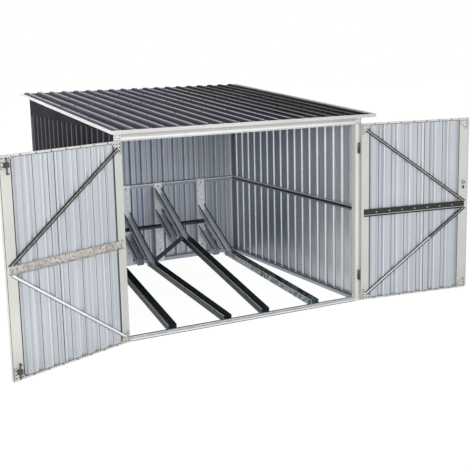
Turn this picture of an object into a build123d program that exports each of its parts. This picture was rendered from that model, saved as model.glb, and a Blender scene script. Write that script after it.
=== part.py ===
from build123d import *
from math import atan, cos, degrees, hypot
import os

os.makedirs("parts", exist_ok=True)

# Frame of the locker, on the ground at z = 0, front towards -Y
frame_width = 1872
frame_depth = 2000
opening_height = 1304
frame_gauge = 2
post_width = 49
post_depth = 45
rail_depth = 22
rail_height = 38
mid_rail_height = 36
mid_rail_z = 675
header_depth = 25
header_height = 76
gable_front_height = 18

# Sill under the doors, stepped so that the leaves close over its lower front part
sill_height = 22
sill_step_height = 16
sill_step_depth = 24

# Anchor bolts through the side base rails
anchor_spacing_y = 1700
anchor_hole_radius = 4.5

# Ribbed sheet
sheet_gauge = 1
wall_ground_gap = 8
side_pitch = 112.3
side_first_rib = 59
rear_pitch = 102
rear_first_rib = 71
roof_pitch = 103.5
roof_first_rib = 52
door_pitch = 106.5
door_first_rib = 51
rib_crest = 22
rib_foot = 40

# Roof
side_overhang = 49
roof_rise = 0.0738
front_overhang = 110
rear_overhang = 45
roof_rib_depth = 10
roof_lap_start = 1143
roof_lap_length = 120
trim_gauge = 1.5
trim_leg = 20
trim_drop = 12

# Tyre channels and wheel guides, in four bays that alternate high and low
side_aisle = 322
inner_bay_x = 150
channel_width = 60
channel_height = 45
high_peak_y = 400
high_peak_z = 340
low_peak_y = 415
guide_rise = 0.60
guide_step = 190
high_lower_guide_y = 620
low_lower_guide_y = 660
rack_post_width = 80
rack_post_depth = 15
cross_bar_size = 25
cross_bar_y = 830
tie_height = 45
tie_gauge = 3
tie_tab = 20

# Door leaves
leaf_sill_overlap = 7
leaf_header_overlap = 8
leaf_thickness = 18
leaf_gauge = 1.5
hinge_stile_width = 62
free_stile_width = 72
leaf_rail_width = 12
door_clearance = 5
meeting_gap = 6
hinge_setback = 15
hinge_edge_offset = 8
left_open_angle = 158.5
right_open_angle = 172.5
gusset_inset = 8
gusset_size = 70
gusset_tip = 12
door_rail_z = 637
door_rail_height = 53
door_rail_depth = 15
door_rail_inset = 20
brace_width = 22
brace_depth = 10
brace_hinge_inset = 34
brace_corner_z = 45
brace_free_inset = 30
lip_cover = 20
lip_seat = 28

# Hinges: the lower half is fixed to the post, the upper half to the leaf
hinge_height = 74
hinge_low_inset = 186
hinge_high_inset = 177
knuckle_radius = 6
pin_radius = 3.5
pin_clearance = 0.3
knuckle_gap = 1
hinge_plate_gauge = 3
hinge_plate_width = 29
strap_gauge = 2.5
strap_length = 45

# Slide bolts on the left leaf and latch on the right leaf
bolt_radius = 5
bolt_clearance = 0.5
bolt_length = 96
bolt_standoff = 17
bolt_inset = 38
bolt_hole_clearance = 2
keeper_height = 28
keeper_width = 26
keeper_inset = 40
knob_radius = 4
knob_length = 12
latch_z = 815
latch_height = 70
latch_width = 26
latch_depth = 8
latch_ring_radius = 11
latch_ring_bar = 2.5

eave_height = opening_height + header_height - front_overhang * roof_rise
side_wall_height = opening_height + header_height - gable_front_height
roof_width = frame_width + 2 * side_overhang
half_width = frame_width / 2
half_depth = frame_depth / 2
front_y = -half_depth
opening_half = half_width - post_width
rail_x = opening_half + frame_gauge
sheet_x = rail_x + rail_depth
sheet_outer_x = half_width - frame_gauge
wall_rib_depth = sheet_outer_x - sheet_x
rear_rail_y = half_depth - rail_depth - wall_rib_depth
rear_sheet_y = rear_rail_y + rail_depth
eave_y = front_y - front_overhang
roof_angle = atan(roof_rise)
roof_length = (frame_depth + front_overhang + rear_overhang) / cos(roof_angle)
door_gap = door_clearance + leaf_gauge
hinge_axis_x = opening_half + hinge_setback
hinge_axis_y = front_y - door_gap - leaf_thickness
leaf_width = hinge_axis_x - hinge_edge_offset - meeting_gap / 2
leaf_bottom = sill_height - leaf_sill_overlap
leaf_top = opening_height + leaf_header_overlap
hinge_centres_z = (leaf_bottom + hinge_low_inset, leaf_top - hinge_high_inset)
outer_bay_x = opening_half - side_aisle
rack_post_y = rear_rail_y - rack_post_depth
guide_angle = atan(guide_rise)


def along_x(outline, start, end):
    """Solid with an outline in Y and Z, from one X position to another."""
    return Pos(start, 0, 0) * extrude(Plane.YZ * Polygon(*outline), end - start, dir=(1, 0, 0))


def along_y(outline, start, end):
    """Solid with an outline in X and Z, from one Y position to another."""
    return Pos(0, start, 0) * extrude(Plane.XZ * Polygon(*outline), end - start, dir=(0, 1, 0))


def along_z(outline, start, end):
    """Solid with an outline in X and Y, from one height to another."""
    return Pos(0, 0, start) * extrude(Polygon(*outline), end - start, dir=(0, 0, 1))


def folded(line, gauge):
    """Outline of sheet metal bent along a line, with its thickness on the line's left."""
    inner = []
    for i, (x, y) in enumerate(line):
        normals = []
        for a, b in ((i - 1, i), (i, i + 1)):
            if a >= 0 and b < len(line):
                dx = line[b][0] - line[a][0]
                dy = line[b][1] - line[a][1]
                normals.append((-dy / hypot(dx, dy), dx / hypot(dx, dy)))
        first, last = normals[0], normals[-1]
        scale = gauge / (1 + first[0] * last[0] + first[1] * last[1])
        inner.append((x + scale * (first[0] + last[0]), y + scale * (first[1] + last[1])))
    return line + inner[::-1]


def ribbed(length, pitch, first, depth):
    """Outline of a ribbed sheet: flat pans at zero and narrow ribs, from the first one's centre."""
    rise = depth - sheet_gauge
    count = int((length - first - rib_foot / 2 - sheet_gauge) // pitch) + 1
    line = [(0, 0)]
    for i in range(count):
        centre = first + i * pitch
        line += [
            (centre - rib_foot / 2, 0),
            (centre - rib_crest / 2, rise),
            (centre + rib_crest / 2, rise),
            (centre + rib_foot / 2, 0),
        ]
    return folded(line + [(length, 0)], sheet_gauge)


def roof_z(y):
    """Height of the roof sheet's underside."""
    return eave_height + (y - eave_y) * roof_rise


def on_roof(shape):
    """Move a shape from flat roof coordinates, with its eave at zero, onto the slope."""
    return Pos(0, eave_y, eave_height) * Rot(degrees(roof_angle), 0, 0) * shape


def under_roof(shape):
    """Cut a shape off at the underside of the roof."""
    low_y, high_y = eave_y, half_depth + rear_overhang
    top = eave_height + frame_depth
    cutter = along_x(
        [(low_y, roof_z(low_y)), (high_y, roof_z(high_y)), (high_y, top), (low_y, top)],
        -half_width - 1, half_width + 1,
    )
    return shape - cutter


def save(shape, name):
    export_step(shape, f"parts/{name}.step")


# Base: side and rear rails, anchor holes, sill
anchor_x = rail_x + (rail_depth + frame_gauge) / 2


def side_rail(side, low, high):
    """Rail along a side wall, open towards the wall sheet."""
    line = [(sheet_x, high), (rail_x, high), (rail_x, low), (sheet_x, low)]
    outline = [(side * x, z) for x, z in folded(line, frame_gauge)]
    return along_y(outline, front_y + frame_gauge, half_depth - frame_gauge)


def rear_rail(low, high):
    """Rail along the rear wall between the corner posts."""
    line = [(rear_sheet_y, low), (rear_rail_y, low), (rear_rail_y, high), (rear_sheet_y, high)]
    outline = folded(line[::-1], frame_gauge)
    return along_x(outline, -opening_half, opening_half)


def slot_bolt_hole(z):
    """Clearance hole for a slide bolt at a given height."""
    bolt_x = -(meeting_gap / 2 + bolt_inset)
    bolt_y = hinge_axis_y + leaf_thickness + bolt_standoff
    return Pos(bolt_x, bolt_y, z) * Cylinder(bolt_radius + bolt_hole_clearance, 4 * frame_gauge)


for side, name in ((-1, "left"), (1, "right")):
    base_rail = side_rail(side, 0, rail_height)
    for y in (-anchor_spacing_y / 2, anchor_spacing_y / 2):
        base_rail -= Pos(side * anchor_x, y, 0) * Cylinder(anchor_hole_radius, 4 * frame_gauge)
    save(base_rail, f"base_rail_{name}")
    save(side_rail(side, mid_rail_z, mid_rail_z + mid_rail_height), f"mid_rail_{name}")
    save(side_rail(side, side_wall_height - rail_height, side_wall_height), f"top_rail_{name}")

rear_top_z = roof_z(half_depth)
save(rear_rail(0, rail_height), "base_rail_rear")
save(rear_rail(mid_rail_z, mid_rail_z + mid_rail_height), "mid_rail_rear")
rear_rail_top = roof_z(rear_rail_y)
save(rear_rail(rear_rail_top - rail_height, rear_rail_top), "top_rail_rear")

sill_back = front_y + post_depth
sill_step = front_y + sill_step_depth
sill_line = [
    (front_y, 0),
    (front_y, sill_step_height),
    (sill_step, sill_step_height),
    (sill_step, sill_height),
    (sill_back, sill_height),
    (sill_back, 0),
]
sill = along_x(folded(sill_line[::-1], frame_gauge), -opening_half, opening_half)
sill -= slot_bolt_hole(sill_step_height)
save(sill, "base_sill_front")


# Posts, header, hinge brackets
def hinge_bracket(side, centre_z):
    """Fixed half of a hinge: plate on the post, arm, lower knuckle and pin."""
    low = centre_z - hinge_height / 2
    half = (hinge_height - knuckle_gap) / 2
    plate_x = hinge_axis_x + knuckle_radius - hinge_plate_gauge
    plate = along_z(
        [
            (side * plate_x, front_y),
            (side * (plate_x + hinge_plate_width), front_y),
            (side * (plate_x + hinge_plate_width), front_y - hinge_plate_gauge),
            (side * plate_x, front_y - hinge_plate_gauge),
        ],
        low, low + hinge_height,
    )
    arm = along_z(
        [
            (side * plate_x, front_y),
            (side * (plate_x + hinge_plate_gauge), front_y),
            (side * (plate_x + hinge_plate_gauge), hinge_axis_y),
            (side * plate_x, hinge_axis_y),
        ],
        low, low + half,
    )
    axis = Pos(side * hinge_axis_x, hinge_axis_y, low)
    knuckle = axis * Cylinder(knuckle_radius, half, align=(Align.CENTER, Align.CENTER, Align.MIN))
    pin = axis * Cylinder(pin_radius, hinge_height, align=(Align.CENTER, Align.CENTER, Align.MIN))
    return plate + arm + knuckle + pin


def corner_post(side, outer_y, inner_y, height):
    """Corner post, open towards the middle of the side wall."""
    line = [
        (opening_half, inner_y),
        (opening_half, outer_y),
        (half_width, outer_y),
        (half_width, inner_y),
    ]
    turn = 1 if outer_y < inner_y else -1
    outline = [(side * x, y) for x, y in folded(line[::turn], frame_gauge)]
    return along_z(outline, 0, height)


for side, name in ((-1, "left"), (1, "right")):
    front_post = corner_post(side, front_y, front_y + post_depth, opening_height)
    for z in hinge_centres_z:
        front_post += hinge_bracket(side, z)
    save(front_post, f"post_front_{name}")
    rear_post = corner_post(side, half_depth, half_depth - post_depth, rear_top_z)
    save(under_roof(rear_post), f"post_rear_{name}")

header_back = front_y + header_depth
header_line = [
    (header_back, roof_z(header_back)),
    (front_y, roof_z(front_y)),
    (front_y, opening_height),
    (header_back, opening_height),
]
header = along_x(folded(header_line, frame_gauge), -half_width, half_width)
header -= slot_bolt_hole(opening_height)
save(header, "header_front")

# Wall sheets and the tapering gable strips above the side walls
side_sheet_start = header_back + frame_gauge * roof_rise
side_sheet_length = half_depth - frame_gauge - side_sheet_start
side_outline = ribbed(side_sheet_length, side_pitch, side_first_rib, wall_rib_depth)
gable_end = half_depth - frame_gauge
gable_outer = [
    (side_sheet_start, side_wall_height),
    (gable_end, side_wall_height),
    (gable_end, roof_z(gable_end)),
    (side_sheet_start, roof_z(side_sheet_start)),
]
gable_inner = [
    (side_sheet_start, side_wall_height + sheet_gauge),
    (gable_end, side_wall_height + sheet_gauge),
    (gable_end, roof_z(gable_end) - sheet_gauge),
    (side_sheet_start, roof_z(side_sheet_start) - sheet_gauge),
]
for side, name in ((-1, "left"), (1, "right")):
    outline = [(side * (sheet_x + v), side_sheet_start + u) for u, v in side_outline]
    save(along_z(outline, wall_ground_gap, side_wall_height), f"wall_sheet_{name}")
    gable = along_x(gable_outer, side * sheet_x, side * sheet_outer_x)
    gable -= along_x(gable_inner, side * sheet_x, side * (sheet_outer_x - sheet_gauge))
    save(gable, f"gable_{name}")

rear_outline = ribbed(2 * opening_half, rear_pitch, rear_first_rib, wall_rib_depth)
rear_outline = [(u - opening_half, rear_sheet_y + v) for u, v in rear_outline]
save(under_roof(along_z(rear_outline, wall_ground_gap, rear_top_z)), "wall_sheet_rear")

# Roof sheets in two courses, the rear one lapping over the front one, and the edge trims
roof_sheet_width = roof_width - 2 * trim_gauge
roof_outline = ribbed(roof_sheet_width, roof_pitch, roof_first_rib, roof_rib_depth)
roof_outline = [(u - roof_sheet_width / 2, v) for u, v in roof_outline]
lap_end = roof_lap_start + roof_lap_length
save(on_roof(along_y(roof_outline, 0, lap_end)), "roof_sheet_front")
rib_side_angle = atan(2 * (roof_rib_depth - sheet_gauge) / (rib_foot - rib_crest))
lap_lift = sheet_gauge / cos(rib_side_angle)
rear_course_end = roof_length - sheet_gauge
lap_tilt = atan(lap_lift / (rear_course_end - lap_end))
rear_course = along_y(roof_outline, roof_lap_start - rear_course_end, 0)
rear_course = Pos(0, rear_course_end, 0) * Rot(-degrees(lap_tilt), 0, 0) * rear_course
save(on_roof(rear_course), "roof_sheet_rear")

trim_top = roof_rib_depth + sheet_gauge
half_roof = roof_width / 2
trim_outline = [
    (-trim_gauge, trim_top), (-trim_gauge, -trim_drop), (0, -trim_drop), (0, -trim_gauge),
    (trim_leg, -trim_gauge), (trim_leg, 0), (0, 0), (0, trim_top),
]
front_trim = along_x(trim_outline, -half_roof, half_roof)
save(on_roof(front_trim), "roof_trim_front")
for side, name in ((-1, "left"), (1, "right")):
    outline = [(side * (half_roof - trim_gauge - s), n) for s, n in trim_outline]
    side_trim = along_y(outline, 0, roof_length) - front_trim
    save(on_roof(side_trim), f"roof_trim_{name}")


# Tyre channels, wheel guides with their wall uprights, cross bar and ties
def channel(x, start_y, start_z, end_y, end_z):
    """Upward-open channel, given by its rim height at both vertical ends."""
    steep = atan((end_z - start_z) / (end_y - start_y))
    drop = channel_height / cos(steep)
    web = frame_gauge / cos(steep)
    side_view = [
        (start_y, start_z), (start_y, start_z - drop), (end_y, end_z - drop), (end_y, end_z),
    ]
    hollow = [
        (start_y, start_z), (start_y, start_z - drop + web),
        (end_y, end_z - drop + web), (end_y, end_z),
    ]
    half = channel_width / 2
    body = along_x(side_view, x - half, x + half)
    return body - along_x(hollow, x - half + frame_gauge, x + half - frame_gauge)


def guide_z(y, level):
    """Rim height of the parallel wheel guides; level 0 is the upper guide of a high bay."""
    return high_peak_z + (y - high_peak_y) * guide_rise - level * guide_step


def wall_upright(x):
    """Upright behind a bay, open towards the rear wall, from the ground to the middle rail."""
    half = rack_post_width / 2
    line = [
        (x - half, rear_rail_y), (x - half, rack_post_y),
        (x + half, rack_post_y), (x + half, rear_rail_y),
    ]
    return along_z(folded(line, frame_gauge), 0, mid_rail_z + mid_rail_height)


bays = (
    (-outer_bay_x, high_peak_y, 0, high_lower_guide_y),
    (-inner_bay_x, low_peak_y, 1, low_lower_guide_y),
    (inner_bay_x, high_peak_y, 0, high_lower_guide_y),
    (outer_bay_x, low_peak_y, 1, low_lower_guide_y),
)
for number, (x, peak_y, level, lower_y) in enumerate(bays, start=1):
    peak_z = guide_z(peak_y, level)
    slope = (peak_z - channel_height) / (peak_y - sill_back)
    front_z = channel_height * hypot(1, slope)
    save(channel(x, sill_back, front_z, peak_y, peak_z), f"tyre_channel_{number}")
    holder = channel(x, peak_y, peak_z, rack_post_y, guide_z(rack_post_y, level))
    lower = level + 1
    holder += channel(
        x, lower_y, guide_z(lower_y, lower), rack_post_y, guide_z(rack_post_y, lower)
    )
    save(holder + wall_upright(x), f"wheel_guide_{number}")

web_underside = guide_z(cross_bar_y, 1) - channel_height / cos(guide_angle)
cross_bar = Box(
    2 * outer_bay_x + channel_width, cross_bar_size, cross_bar_size,
    align=(Align.CENTER, Align.CENTER, Align.MAX),
)
cross_bar -= Pos(0, 0, -frame_gauge) * Box(
    2 * outer_bay_x + channel_width,
    cross_bar_size - 2 * frame_gauge,
    cross_bar_size - 2 * frame_gauge,
    align=(Align.CENTER, Align.CENTER, Align.MAX),
)
cross_bar = Pos(0, cross_bar_y, web_underside) * Rot(degrees(guide_angle), 0, 0) * cross_bar
save(cross_bar, "rack_cross_bar")


def tie(low_x, low_z, high_x, high_z):
    """Slanting tie with an upright tab at each end, from a low face to a high face."""
    y = max(high_peak_y, low_peak_y)
    half = tie_height / 2
    plate = along_y(
        [
            (low_x, low_z - half), (high_x, high_z - half),
            (high_x, high_z + half), (low_x, low_z + half),
        ],
        y, y + tie_gauge,
    )
    for x, z, inward in ((low_x, low_z, tie_gauge), (high_x, high_z, -tie_gauge)):
        tab = [(x, z - half), (x + inward, z - half), (x + inward, z + half), (x, z + half)]
        plate += along_y(tab, y, y + tie_tab)
    return plate


high_tie_z = guide_z(low_peak_y, 0) - tie_height
low_tie_z = guide_z(low_peak_y, 1) - tie_height / 4
half_channel = channel_width / 2
save(
    tie(-inner_bay_x + half_channel, low_tie_z, inner_bay_x - half_channel, high_tie_z),
    "rack_tie_middle",
)
save(
    tie(-rail_x, tie_height / 2, -outer_bay_x - half_channel, high_tie_z),
    "rack_tie_left",
)


# Door leaves, drawn closed and then swung open about their hinge axes
def leaf_outline(side, points):
    """Outline in X and Y from distances along the leaf and in from its outer face."""
    edge = hinge_axis_x - hinge_edge_offset
    return [(side * (edge - s), hinge_axis_y + n) for s, n in points]


def leaf_face(side, points, near, far):
    """Solid with an outline along the leaf and in height, between two depths."""
    edge = hinge_axis_x - hinge_edge_offset
    outline = [(side * (edge - s), z) for s, z in points]
    return along_y(outline, hinge_axis_y + near, hinge_axis_y + far)


def swung(side, shape):
    """Turn a leaf piece from closed to its open resting place."""
    angle = right_open_angle if side > 0 else -left_open_angle
    axis = Pos(side * hinge_axis_x, hinge_axis_y, 0)
    return axis * Rot(0, 0, angle) * axis.inverse() * shape


def leaf_frame(side):
    """Folded stiles and rails with the corner plates and hinge straps welded on."""
    inside = leaf_thickness
    hinge_line = [(hinge_stile_width, 0), (0, 0), (0, inside), (hinge_stile_width, inside)]
    free_line = [(leaf_width - s * free_stile_width / hinge_stile_width, n) for s, n in hinge_line]
    hinge_stile = along_z(leaf_outline(side, folded(hinge_line[::-1], leaf_gauge)),
                          leaf_bottom, leaf_top)
    free_stile = along_z(leaf_outline(side, folded(free_line, leaf_gauge)), leaf_bottom, leaf_top)
    rail_line = [
        (hinge_axis_y, leaf_top - leaf_rail_width),
        (hinge_axis_y, leaf_top),
        (hinge_axis_y + inside, leaf_top),
        (hinge_axis_y + inside, leaf_top - leaf_rail_width),
    ]
    top_outline = folded(rail_line[::-1], leaf_gauge)
    bottom_outline = [(y, leaf_bottom + leaf_top - z) for y, z in top_outline]
    edge = hinge_axis_x - hinge_edge_offset
    rail_start = side * (edge - hinge_stile_width)
    rail_end = side * (edge - leaf_width + free_stile_width)
    frame = hinge_stile + free_stile
    for outline in (top_outline, bottom_outline):
        frame += along_x(outline, rail_start, rail_end)
    for s, along in ((gusset_inset, 1), (leaf_width - gusset_inset, -1)):
        for z, up in ((leaf_bottom + gusset_inset, 1), (leaf_top - gusset_inset, -1)):
            plate = [
                (s, z),
                (s + along * gusset_size, z),
                (s + along * gusset_size, z + up * gusset_tip),
                (s + along * gusset_tip, z + up * gusset_size),
                (s, z + up * gusset_size),
            ]
            frame += leaf_face(side, plate, leaf_thickness, leaf_thickness + leaf_gauge)
    for z in hinge_centres_z:
        frame += hinge_strap(side, z)
    return frame


def hinge_strap(side, centre_z):
    """Moving half of a hinge: strap on the outer face and the upper knuckle."""
    low = centre_z + knuckle_gap / 2
    high = centre_z + hinge_height / 2
    strap = along_z(
        leaf_outline(side, [(-hinge_edge_offset, -strap_gauge), (strap_length, -strap_gauge),
                            (strap_length, 0), (-hinge_edge_offset, 0)]),
        low, high,
    )
    axis = Pos(side * hinge_axis_x, hinge_axis_y, low)
    bottom = (Align.CENTER, Align.CENTER, Align.MIN)
    knuckle = axis * Cylinder(knuckle_radius, high - low, align=bottom)
    bore = axis * Cylinder(pin_radius + pin_clearance, high - low, align=bottom)
    return strap + knuckle - bore


def leaf_panel(side):
    """Ribbed sheet held in the folded frame, ribs towards the outside."""
    play = 2 * leaf_gauge
    length = leaf_width - 2 * leaf_gauge - 2 * play
    depth = leaf_thickness - 2 * leaf_gauge
    start = leaf_gauge + play
    sheet = ribbed(length, door_pitch, door_first_rib, depth)
    points = [(start + u, leaf_thickness - leaf_gauge - v) for u, v in sheet]
    return along_z(leaf_outline(side, points), leaf_bottom + leaf_gauge, leaf_top - leaf_gauge)


def leaf_rail(side):
    """Middle rail, an open channel across the inner face."""
    near = hinge_axis_y + leaf_thickness
    low, high = door_rail_z, door_rail_z + door_rail_height
    line = [
        (near + door_rail_depth, low), (near, low), (near, high), (near + door_rail_depth, high),
    ]
    edge = hinge_axis_x - hinge_edge_offset
    return along_x(
        folded(line[::-1], leaf_gauge),
        side * (edge - door_rail_inset),
        side * (edge - leaf_width + door_rail_inset),
    )


def brace(side, corner_z, rail_z):
    """Diagonal channel from a hinge-side corner plate to the free end of the middle rail."""
    s0, z0 = brace_hinge_inset, corner_z
    s1, z1 = leaf_width - brace_free_inset, rail_z
    length = hypot(s1 - s0, z1 - z0)
    along = ((s1 - s0) / length, (z1 - z0) / length)
    over = brace_width * abs(along[0] / along[1])

    def strip(width):
        half = width / 2
        normal = (-along[1] * half, along[0] * half)
        end = (s1 + along[0] * over, z1 + along[1] * over)
        return [
            (s0 + normal[0], z0 + normal[1]),
            (end[0] + normal[0], end[1] + normal[1]),
            (end[0] - normal[0], end[1] - normal[1]),
            (s0 - normal[0], z0 - normal[1]),
        ]

    near = leaf_thickness + leaf_gauge
    bar = leaf_face(side, strip(brace_width), near, near + brace_depth)
    inner = strip(brace_width - 2 * leaf_gauge)
    bar -= leaf_face(side, inner, near + leaf_gauge, near + brace_depth)
    beyond = rail_z + (leaf_width if rail_z > corner_z else -leaf_width)
    cut = [(0, rail_z), (2 * leaf_width, rail_z), (2 * leaf_width, beyond), (0, beyond)]
    return bar - leaf_face(side, cut, 0, 2 * leaf_thickness + brace_depth)


for side, name in ((-1, "left"), (1, "right")):
    frame = leaf_frame(side)
    if side < 0:
        bolt_s = leaf_width - bolt_inset
        face_y = leaf_thickness
        for z in (leaf_bottom + keeper_inset, leaf_top - keeper_inset - keeper_height):
            half = keeper_width / 2
            keeper = leaf_face(
                side,
                [(bolt_s - half, z), (bolt_s + half, z),
                 (bolt_s + half, z + keeper_height), (bolt_s - half, z + keeper_height)],
                face_y, face_y + bolt_standoff + bolt_radius + 2 * leaf_gauge,
            )
            hole_x = leaf_outline(side, [(bolt_s, face_y + bolt_standoff)])[0]
            hole = Pos(hole_x[0], hole_x[1], z + keeper_height / 2) * Cylinder(
                bolt_radius + bolt_clearance, keeper_height
            )
            frame += keeper - hole
    save(swung(side, frame), f"{name}_door_frame")
    save(swung(side, leaf_panel(side)), f"{name}_door_panel")
    save(swung(side, leaf_rail(side)), f"{name}_door_mid_rail")
    upper = brace(side, leaf_top - brace_corner_z, door_rail_z + door_rail_height)
    lower = brace(side, leaf_bottom + brace_corner_z, door_rail_z)
    save(swung(side, upper), f"{name}_door_brace_upper")
    save(swung(side, lower), f"{name}_door_brace_lower")


def slide_bolt(tip_z, direction):
    """Round bolt with a finger knob, its tip at a height and its body the other way."""
    x, y = leaf_outline(-1, [(leaf_width - bolt_inset, leaf_thickness + bolt_standoff)])[0]
    rod = Pos(x, y, tip_z + direction * bolt_length / 2) * Cylinder(bolt_radius, bolt_length)
    knob_z = tip_z + direction * (bolt_length - 2 * knob_radius)
    knob = Pos(x, y, knob_z) * Rot(90, 0, 0) * Cylinder(
        knob_radius, bolt_radius + knob_length, align=(Align.CENTER, Align.CENTER, Align.MAX)
    )
    return rod + knob


save(swung(-1, slide_bolt(opening_height - door_clearance, -1)), "left_door_bolt_upper")
save(swung(-1, slide_bolt(sill_height + door_clearance, 1)), "left_door_bolt_lower")

# Cover lip and latch of the right leaf
lip_line = [
    (leaf_width + meeting_gap + lip_cover, -door_clearance),
    (leaf_width, -door_clearance),
    (leaf_width, 0),
    (leaf_width - lip_seat, 0),
]
lip = along_z(leaf_outline(1, folded(lip_line, leaf_gauge)), leaf_bottom, leaf_top)
save(swung(1, lip), "right_door_cover_lip")

latch_s = leaf_width - free_stile_width / 2
latch_half = latch_width / 2
case = leaf_face(
    1,
    [(latch_s - latch_half, latch_z - latch_height / 2),
     (latch_s + latch_half, latch_z - latch_height / 2),
     (latch_s + latch_half, latch_z + latch_height / 2),
     (latch_s - latch_half, latch_z + latch_height / 2)],
    leaf_thickness, leaf_thickness + latch_depth,
)
ring_x, ring_y = leaf_outline(1, [(latch_s, leaf_thickness + latch_depth)])[0]
ring = Pos(ring_x, ring_y + latch_ring_bar / 2, latch_z + latch_height / 4) * Rot(90, 0, 0) * Torus(
    latch_ring_radius, latch_ring_bar
)
save(swung(1, case + ring), "right_door_latch")
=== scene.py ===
import bpy
import math
from mathutils import Matrix, Vector


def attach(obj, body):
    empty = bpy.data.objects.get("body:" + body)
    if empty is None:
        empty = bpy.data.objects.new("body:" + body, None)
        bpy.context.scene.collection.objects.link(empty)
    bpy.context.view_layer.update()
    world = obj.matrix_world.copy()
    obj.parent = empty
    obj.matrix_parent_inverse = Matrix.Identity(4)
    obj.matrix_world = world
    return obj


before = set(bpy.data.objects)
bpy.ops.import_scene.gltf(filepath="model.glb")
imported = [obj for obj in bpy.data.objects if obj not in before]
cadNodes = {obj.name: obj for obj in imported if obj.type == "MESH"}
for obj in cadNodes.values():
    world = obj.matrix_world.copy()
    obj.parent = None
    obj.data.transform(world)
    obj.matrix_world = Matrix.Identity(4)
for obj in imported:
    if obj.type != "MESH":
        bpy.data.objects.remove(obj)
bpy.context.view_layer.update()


# Camera at the photograph's viewing angle

camera = {
    "place": (-2.8053, -6.2164, 1.8582),
    "right": (0.8856, -0.4641, -0.0223),
    "up": (0.1012, 0.1458, 0.9842),
    "back": (-0.4535, -0.8737, 0.1760),
    "lens": 67.92,
    "sensor": 36,
    "shiftY": -0.0596,
    "nearest": 0.05,
}


def placeCamera(values):
    lensData = bpy.data.cameras.new("photoCamera")
    lensData.lens = values["lens"]
    lensData.sensor_width = values["sensor"]
    lensData.shift_y = values["shiftY"]
    lensData.clip_start = values["nearest"]
    holder = bpy.data.objects.new("photoCamera", lensData)
    bpy.context.scene.collection.objects.link(holder)
    turn = Matrix((values["right"], values["up"], values["back"])).transposed().to_4x4()
    holder.matrix_world = Matrix.Translation(values["place"]) @ turn
    bpy.context.scene.camera = holder


placeCamera(camera)
print("camera placed")


# Node helpers: every material below is built from these

def newMaterial(name):
    material = bpy.data.materials.new(name)
    material.use_nodes = True
    material.node_tree.nodes.clear()
    tree = material.node_tree
    output = tree.nodes.new("ShaderNodeOutputMaterial")
    shader = tree.nodes.new("ShaderNodeBsdfPrincipled")
    tree.links.new(shader.outputs["BSDF"], output.inputs["Surface"])
    place = tree.nodes.new("ShaderNodeTexCoord").outputs["Object"]
    return material, tree, shader, place


def stretched(tree, place, scale):  # a pattern squeezed or drawn out along the axes
    mapping = tree.nodes.new("ShaderNodeMapping")
    mapping.inputs["Scale"].default_value = scale
    tree.links.new(place, mapping.inputs["Vector"])
    return mapping.outputs["Vector"]


def cloudy(tree, place, scale, detail, roughness=0.5):
    noise = tree.nodes.new("ShaderNodeTexNoise")
    noise.inputs["Scale"].default_value = scale
    noise.inputs["Detail"].default_value = detail
    noise.inputs["Roughness"].default_value = roughness
    tree.links.new(place, noise.inputs["Vector"])
    return noise.outputs["Fac"]


def crystals(tree, place, scale):  # one random grey per zinc crystal
    cells = tree.nodes.new("ShaderNodeTexVoronoi")
    cells.inputs["Scale"].default_value = scale
    tree.links.new(place, cells.inputs["Vector"])
    split = tree.nodes.new("ShaderNodeSeparateColor")
    tree.links.new(cells.outputs["Color"], split.inputs["Color"])
    return split.outputs["Red"]


def ranged(tree, source, edge, target=(0.0, 1.0)):  # what lies between the edges spreads over the target
    change = tree.nodes.new("ShaderNodeMapRange")
    for name, value in zip(("From Min", "From Max", "To Min", "To Max"), (*edge, *target)):
        change.inputs[name].default_value = value
    tree.links.new(source, change.inputs["Value"])
    return change.outputs["Result"]


def patterned(tree, place, pattern, target=(0.0, 1.0)):  # a pattern and the part of it that counts
    *cloud, edge = pattern
    return ranged(tree, cloudy(tree, place, *cloud), edge, target)


def product(tree, first, second):
    times = tree.nodes.new("ShaderNodeMath")
    times.operation = "MULTIPLY"
    tree.links.new(first, times.inputs[0])
    tree.links.new(second, times.inputs[1])
    return times.outputs["Value"]


def blended(tree, amount, first, second):
    mix = tree.nodes.new("ShaderNodeMix")
    mix.data_type = "RGBA"
    tree.links.new(amount, mix.inputs["Factor"])
    for socket, value in ((mix.inputs["A"], first), (mix.inputs["B"], second)):
        if isinstance(value, tuple):
            socket.default_value = (*value, 1.0)
        else:
            tree.links.new(value, socket)
    return mix.outputs["Result"]


def alongAxis(tree, place, axis):
    split = tree.nodes.new("ShaderNodeSeparateXYZ")
    tree.links.new(place, split.inputs["Vector"])
    return split.outputs[axis]


def surfaced(tree, shader, place, colour, worn, wear, grain):  # colour, roughness and fine bumps
    tree.links.new(colour, shader.inputs["Base Color"])
    tree.links.new(worn, shader.inputs["Roughness"])
    bump = tree.nodes.new("ShaderNodeBump")
    bump.inputs["Distance"].default_value = wear["grainDepth"]
    bump.inputs["Strength"].default_value = grain
    tree.links.new(cloudy(tree, place, *wear["grain"]), bump.inputs["Height"])
    tree.links.new(bump.outputs["Normal"], shader.inputs["Normal"])


def srgb(text):
    def linear(part):
        value = int(part, 16) / 255
        return value / 12.92 if value <= 0.04045 else ((value + 0.055) / 1.055) ** 2.4
    return tuple(linear(text[i:i + 2]) for i in (1, 3, 5))


# Finishes: paints, zinc and lock steel

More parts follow.
